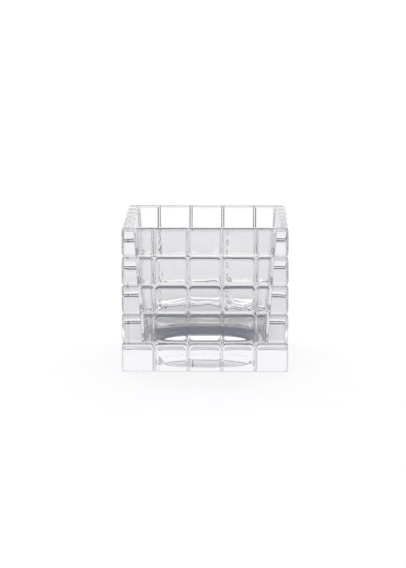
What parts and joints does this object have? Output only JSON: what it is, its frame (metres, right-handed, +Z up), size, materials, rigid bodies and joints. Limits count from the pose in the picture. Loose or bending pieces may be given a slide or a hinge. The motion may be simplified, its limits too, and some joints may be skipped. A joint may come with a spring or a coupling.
{
  "type": "square glass vase",
  "caption": "Square open-topped vase of thick clear pressed glass, with a grid of rounded block relief on each side, a tapered well and a shallow round hollow under its base.",
  "frame": {"origin": "middle of the underside, at the height of the flat ring it stands on", "axes": "+Z up out of the mouth; the four sides are alike, and the side facing -Y is called the front"},
  "size_m": [0.1016, 0.1016, 0.088],
  "materials": {
    "clear_glass": "clear, fire-polished pressed glass"
  },
  "bodies": {
    "root": {"vase_body": "clear_glass"}
  },
  "joints": []
}
